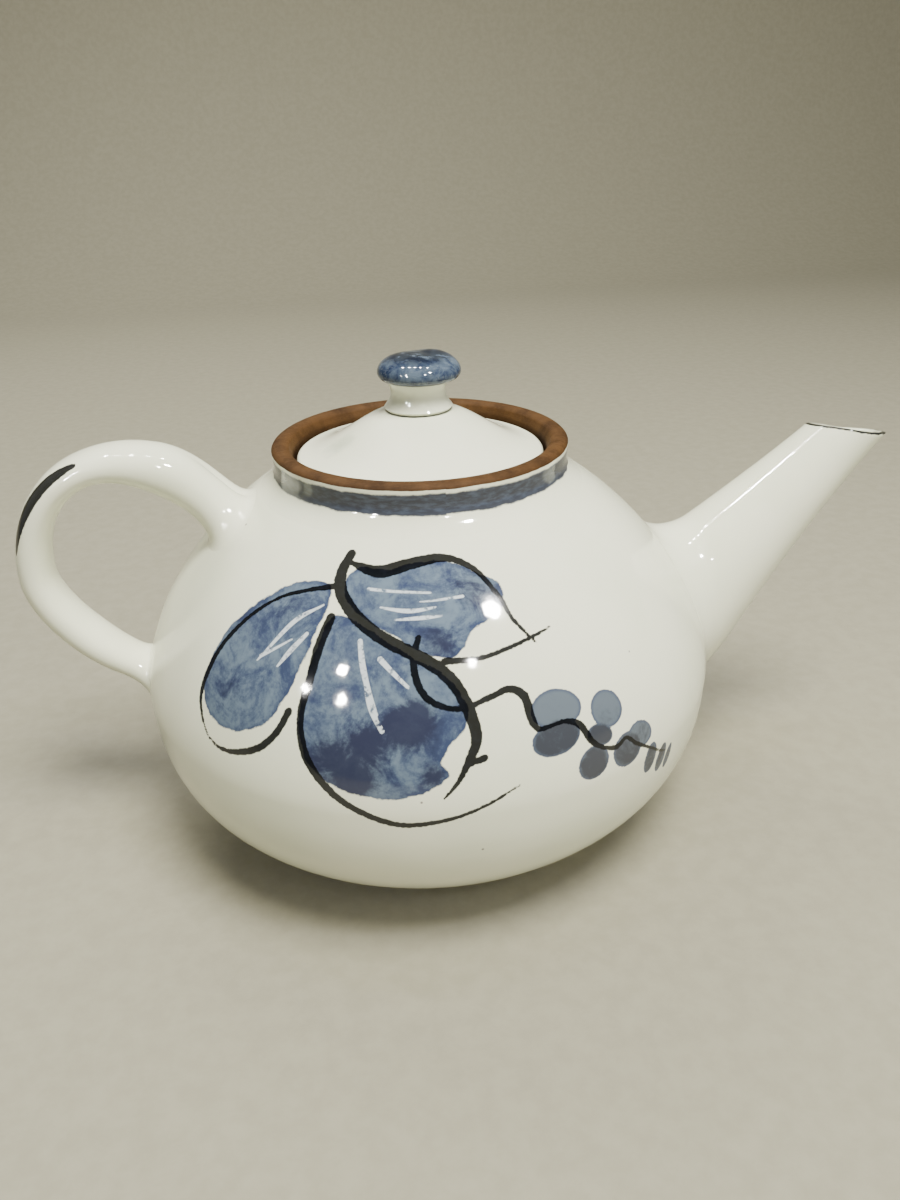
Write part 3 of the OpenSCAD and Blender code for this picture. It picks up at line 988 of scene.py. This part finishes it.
def add_ink(g, colour):
    """Brushed pigment: nearly black where it is thick, bluer and broken where the brush ran dry."""
    frayed = g.wander(g.noise(1.1, 3, 0.6), 0.7)
    sharp = g.step(g.plus(g.field("ink"), frayed), -0.10, 0.16)
    bristle = g.step(g.noise(2.2, 4, 0.65), 0.38, 0.72)
    tint = g.mix(g.times(bristle, 0.6), INK_COLOUR, INK_THIN)
    return g.mix(g.times(sharp, 0.98), colour, tint)


def painted_glaze():
    """The belly: white glaze with the vine-leaf motif in blue wash and black brush lines."""
    g = Graph("painted_glaze")
    colour = specked_glaze(g)
    grain = g.noise(1.4, 5, 0.75)
    clouds = g.noise(9, 4, 0.65, warp=0.8)
    ragged = g.wander(g.noise(4, 4, 0.6), 2.2)
    wash = g.plus(g.field("wash"), ragged)
    depth = g.step(g.plus(g.times(clouds, 0.8), g.times(grain, 0.35)), 0.42, 0.72)
    tide = g.step(wash, 0.2, 1.6, 0.4, 0)
    pigment = g.mix(g.plus(depth, tide), WASH_LIGHT, WASH_MID)
    blotch = g.plus(g.wander(clouds, 1.3), g.wander(grain, 0.5))
    pooled = g.step(g.plus(g.field("tone"), blotch), 0.12, 0.7)
    pigment = g.mix(g.times(pooled, 0.93), pigment, WASH_DEEP)
    colour = g.mix(g.times(g.step(wash, -0.15, 0.35), 0.97), colour, pigment)
    berry = g.field("berry")
    skin = g.mix(g.step(berry, 0.0, 1.1, 0.9, 0.1), BERRY_LIGHT, WASH_MID)
    skin = g.mix(g.times(pooled, 0.94), skin, BERRY_DARK)
    berry_on = g.step(g.plus(berry, g.times(ragged, 0.2)), -0.12, 0.2)
    colour = g.mix(g.times(berry_on, 0.95), colour, skin)
    worn = g.times(g.step(g.noise(1.4, 3, 0.6), 0.3, 0.5), 0.95)
    scratch = g.step(g.field("scratch"), -0.12, 0.12)
    colour = g.mix(g.times(scratch, worn), colour, SCRATCHED)
    return finish_glaze(g, add_ink(g, colour))


def inked_glaze(name, bare=False):
    """White glaze with a brushed line from the mesh's ink field, and maybe a bare spot."""
    g = Graph(name)
    colour = add_ink(g, specked_glaze(g))
    if bare:
        colour = g.mix(g.step(g.field("bare"), -0.2, 0.3), colour, CLAY_DARK)
    return finish_glaze(g, colour)


def shade_and_pooling_patch(g, colour, spot_mm, spread_mm, tint, amount):
    """A faint patch of painted shade and glaze pooling round a point, with a ragged edge."""
    spot = [c * MM for c in spot_mm]
    gap = g.node("ShaderNodeVectorMath", {0: g.place, 1: spot}, operation="DISTANCE")
    gap = g.times(gap.outputs["Value"], 1 / MM)
    near = g.plus(gap, g.wander(g.noise(4, 4, 0.6), 0.9 * spread_mm))
    return g.mix(g.step(near, 0.2 * spread_mm, spread_mm, amount, 0), colour, tint)


def lid_glaze():
    """The lid's top: white glaze, faint patches of painted shade and glaze pooling, and a dark line of
    painted shade round the stem's foot.
    """
    g = Graph("lid_glaze")
    colour = specked_glaze(g)
    # Painted shade and glaze pooling at the step between brim and dome.
    for shade_patch in LID_SHADE_AND_POOLING:
        colour = shade_and_pooling_patch(g, colour, *shade_patch)
    # Painted shade: a dark line round the stem's foot.
    line = g.step(g.radius(), STEM_FOOT_R - 0.4, STEM_FOOT_R + 0.1, 0.7, 0)
    return finish_glaze(g, g.mix(line, colour, CREVICE_SHADE))


def stem_glaze():
    """White glaze, darker at its foot: painted shade in the crevice where the stem meets the dome."""
    g = Graph("stem_glaze")
    # Painted shade: darker at the foot, in the crevice.
    low = g.step(g.height(), stem_low[2] + 0.1, stem_low[2] + 0.75, 0.85, 0)
    return finish_glaze(g, g.mix(low, specked_glaze(g), CREVICE_SHADE))


def clay_parts(g):
    """Bare fired clay: colour, roughness and normal."""
    streaks = g.noise(1.2, 4, 0.6, g.around(38, 5.0))
    patches = g.noise(8, 4, 0.6)
    grog = g.noise(0.5, 3, 0.7)
    colour = g.mix(g.step(patches, 0.3, 0.75), CLAY, CLAY_DARK)
    colour = g.mix(g.step(streaks, 0.45, 0.8, 0, 0.4), colour, CLAY_STREAK)
    colour = g.mix(g.step(grog, 0.60, 0.75, 0, 0.3), colour, CLAY_GROG)
    normal = g.bump(streaks, 0.15, 0.5, g.bump(grog, 0.08, 0.6))
    return colour, g.step(patches, 0.3, 0.8, 0.62, 0.8), normal


def bare_clay():
    g = Graph("bare_clay")
    g.shader.inputs["Specular IOR Level"].default_value = CLAY_SHINE
    return g.finish(*clay_parts(g))


def collar_finish():
    """Bare clay on the rim and in the gallery, darker deep in the gallery as painted shade, white glaze
    outside, a brushed blue band between with painted shade along its lowest edge.
    """
    g = Graph("collar_finish")
    clay, clay_rough, clay_normal = clay_parts(g)
    height = g.height()
    swing = g.wander(g.noise(6, 4, 0.65, g.around(40, 1.0)), 1.6)
    level = g.plus(height, swing)
    streak = g.noise(3.0, 4, 0.6, g.around(40, 3.0))
    band = g.mix(g.step(streak, 0.35, 0.75), BAND_DARK, BAND_LIGHT)
    # Painted shade: the band darker along its lowest edge, where the collar meets the shoulder.
    band = g.mix(g.step(level, COLLAR_Z + 1.5, COLLAR_Z + 2.6, 0.6, 0), band, BAND_DARK)
    handle_side = g.step(g.times(g.axis("X"), 1 / MM), -40, -20, 1, 0)
    band = g.mix(g.times(handle_side, 0.45), band, BAND_THIN)
    in_band = g.times(g.step(level, COLLAR_Z + 1.1, COLLAR_Z + 1.6),
                      g.step(level, RIM_Z - 2.7, RIM_Z - 2.1, 1, 0))
    glazed = g.mix(g.times(in_band, 0.95), glaze_colour(g), band)
    inner = g.step(g.radius(), COLLAR_R - 0.6, COLLAR_R - 0.5, 1, 0)
    top = g.step(g.plus(height, g.times(swing, 0.35)), RIM_Z - 1.5, RIM_Z - 1.3)
    bare = g.math("MAXIMUM", inner, top)
    # Painted shade: the gallery's clay darker the deeper it lies below the rim.
    gallery_shade = g.step(height, LEDGE_Z, RIM_Z - 1.0, 0.75, 0)
    clay = g.mix(g.times(gallery_shade, inner), clay, CLAY_SHADE)
    rough, normal = glaze_skin(g)
    g.shader.inputs["IOR"].default_value = GLAZE_IOR
    g.put(g.shader.inputs["Specular IOR Level"], g.step(bare, 0, 1, 0.5, CLAY_SHINE))
    return g.finish(g.mix(bare, glazed, clay), g.mix(bare, rough, clay_rough, "FLOAT"),
                    g.mix(bare, normal, clay_normal, "VECTOR"))


def knob_glaze():
    """Blue-grey speckled glaze with darker cobalt blotches on the crown, and painted shade under the
    button's rim.
    """
    g = Graph("blue_glaze")
    cloud = g.noise(4.5, 5, 0.65, warp=0.5)
    colour = g.mix(g.step(cloud, 0.35, 0.68), KNOB_PALE, KNOB_BLUE)
    colour = g.mix(g.step(g.noise(0.8, 4, 0.75), 0.52, 0.72, 0, 0.5), colour, KNOB_SPECK)
    crown = g.step(g.height(), cap_high[2] - 2.6, cap_high[2] - 0.5)
    dark = g.times(crown, g.step(g.noise(3, 3, 0.6), 0.34, 0.52))
    colour = g.mix(g.times(dark, 0.8), colour, KNOB_CROWN)
    # Painted shade: darker towards the button's underside.
    under = g.step(g.height(), cap_low[2] + 0.4, cap_low[2] + 1.2, 0.8, 0)
    return finish_glaze(g, g.mix(under, colour, KNOB_UNDER_SHADE))


# ---- put it together


def place(piece, node, body, slot, material):
    """The piece stands for its CAD node, rides on its body and takes its material."""
    piece.data.materials.clear()
    piece.data.materials.append(material)
    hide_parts(node)
    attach(piece, body)


clay = bare_clay()
place(make_belly(), "belly", "pot", "white_glaze", painted_glaze())
place(make_foot(), "foot_ring", "pot", "bare_clay", clay)
place(make_collar(), "collar", "pot", "bare_clay", collar_finish())
place(make_spout(), "spout", "pot", "white_glaze", inked_glaze("spout_glaze", bare=True))
place(make_handle(), "handle", "pot", "white_glaze", inked_glaze("handle_glaze"))
place(make_flange(), "lid_flange", "lid_ring", "bare_clay", clay)
place(make_dome(), "lid_dome", "lid", "white_glaze", lid_glaze())
place(make_stem(), "knob_stem", "lid", "white_glaze", stem_glaze())
place(make_cap(), "knob_cap", "lid", "blue_glaze", knob_glaze())

# ---- studio


def make_floor():
    """A pale matt floor that curves up into the backdrop."""
    g = Graph("pale_floor")
    speck = g.noise(6, 4, 0.6)
    colour = g.mix(g.step(speck, 0.3, 0.7), srgb(143, 139, 119), srgb(136, 132, 112))
    material = g.finish(colour, 0.85, g.bump(g.noise(1.5, 3, 0.6), 0.1, 0.2))
    wide, front, back, bend, tall = 1600, -900, 900, 350, 1300
    a = np.linspace(0, math.pi / 2, 24)
    line = ([(front, 0)] + [(back + bend * math.sin(t), bend * (1 - math.cos(t))) for t in a]
            + [(back + bend, tall)])
    points = [(x, y, z) for y, z in line for x in (-wide, wide)]
    faces = [[2 * i, 2 * i + 1, 2 * i + 3, 2 * i + 2] for i in range(len(line) - 1)]
    mesh = bpy.data.meshes.new("floor")
    mesh.from_pydata((np.array(points) * MM).tolist(), [], faces)
    mesh.shade_smooth()
    floor = bpy.data.objects.new("floor", mesh)
    bpy.context.scene.collection.objects.link(floor)
    floor.data.materials.append(material)


def area_light(name, place_mm, aim_mm, size_mm, watts, colour=(1, 1, 1)):
    lamp = bpy.data.lights.new(name, "AREA")
    lamp.shape = "DISK"
    lamp.size = size_mm * MM
    lamp.energy = watts
    lamp.color = colour
    holder = bpy.data.objects.new(name, lamp)
    bpy.context.scene.collection.objects.link(holder)
    holder.location = Vector(place_mm) * MM
    holder.rotation_euler = (Vector(aim_mm) - Vector(place_mm)).to_track_quat("-Z", "Y").to_euler()
    return holder


# Small bulbs that show as glints in the glaze: direction from the pot, and diameter in mm.
BULBS = [
    ((-0.35, 0.25, 0.90), 46), ((-0.22, 0.15, 0.96), 46), ((-0.08, 0.08, 0.99), 46),
    ((0.08, 0.06, 1.0), 46), ((0.26, 0.04, 0.96), 46), ((-0.60, -0.54, 0.59), 64),
    ((-0.62, -0.64, 0.45), 60), ((-0.78, -0.46, 0.43), 44), ((0.33, -0.46, 0.82), 100),
    ((0.15, -0.74, 0.66), 50),
]
BULB_BRIGHTNESS = 900
BULB_AWAY = 1000
BULB_AIM = (0, 0, 90)


def make_lights():
    """Broad lamps that only give soft light, and small bulbs that make the glints."""
    world = bpy.data.worlds.new("studio")
    bpy.context.scene.world = world
    world.use_nodes = True
    background = world.node_tree.nodes["Background"]
    background.inputs["Color"].default_value = (1.0, 1.0, 0.96, 1)
    background.inputs["Strength"].default_value = 0.2
    target = (0, 0, 60)
    broad = [area_light("key", (120, -350, 1000), target, 450, 25, (1, 0.985, 0.91)),
             area_light("fill", (700, -700, 700), target, 600, 5, (1, 0.98, 0.92)),
             area_light("back_fill", (-300, 750, 900), target, 600, 9, (1, 0.985, 0.93))]
    for lamp in broad:
        lamp.visible_glossy = False
    for i, (towards, size) in enumerate(BULBS):
        spot = Vector(towards).normalized() * BULB_AWAY + Vector(BULB_AIM)
        watts = BULB_BRIGHTNESS * math.pi * (math.pi / 4) * (size * MM) ** 2
        bulb = area_light(f"bulb_{i}", spot, BULB_AIM, size, watts, (1, 0.98, 0.94))
        bulb.visible_diffuse = False


# The camera looks down at the pot from the handle's side of straight on.
CAMERA_BACK, CAMERA_UP = 254.4, 191.5
POT_TURN = math.radians(8)
CAMERA_YAW, CAMERA_PITCH, CAMERA_ROLL = math.radians(1.59), math.radians(26.91), math.radians(-1.61)
LENS = 28.5


def make_camera():
    data = bpy.data.cameras.new("camera")
    data.lens = LENS
    data.sensor_width = 36
    data.clip_start = 0.01
    camera = bpy.data.objects.new("camera", data)
    bpy.context.scene.collection.objects.link(camera)
    heading = POT_TURN + CAMERA_YAW
    ahead = Vector((math.sin(heading) * math.cos(CAMERA_PITCH), math.cos(heading) * math.cos(CAMERA_PITCH),
                    -math.sin(CAMERA_PITCH)))
    right = Vector((math.cos(heading), -math.sin(heading), 0))
    up = right.cross(ahead)
    c, s = math.cos(CAMERA_ROLL), math.sin(CAMERA_ROLL)
    across, upright = right * c + up * s, up * c - right * s
    turn = Matrix((across, upright, -ahead)).transposed()
    spot = Vector((-CAMERA_BACK * math.sin(POT_TURN), -CAMERA_BACK * math.cos(POT_TURN), CAMERA_UP)) * MM
    camera.matrix_world = Matrix.Translation(spot) @ turn.to_4x4()
    bpy.context.scene.camera = camera


make_floor()
make_lights()
make_camera()
